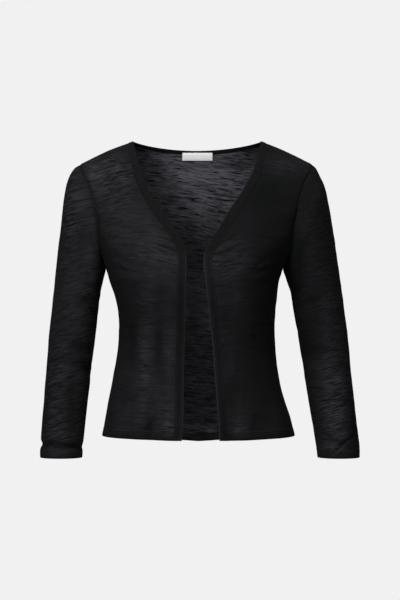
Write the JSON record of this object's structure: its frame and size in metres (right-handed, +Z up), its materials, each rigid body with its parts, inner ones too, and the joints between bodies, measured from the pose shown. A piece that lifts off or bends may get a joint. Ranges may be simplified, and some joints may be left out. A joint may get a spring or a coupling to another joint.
{
  "type": "cropped cardigan",
  "caption": "Cropped open-front cardigan in sheer slub jersey, worn form, with a V neck, narrow edge bands, set-in three-quarter sleeves and a fitted waist.",
  "frame": {"origin": "inner face of the neck band at the centre back of the neck, at its top edge", "axes": "+Z up, -Y towards the open front, +X towards the wearer's left"},
  "size_m": [0.5081, 0.2133, 0.5046],
  "materials": {
    "jersey": "matt black slub single jersey, sheer",
    "binding": "matt black jersey, folded double",
    "woven_label": "smooth white woven satin"
  },
  "bodies": {
    "root": {"back": "jersey", "front_left": "jersey", "front_right": "jersey", "sleeve_left": "jersey", "sleeve_right": "jersey", "neck_band_back": "binding", "front_band_left": "binding", "front_band_right": "binding", "label": "woven_label"}
  },
  "joints": []
}
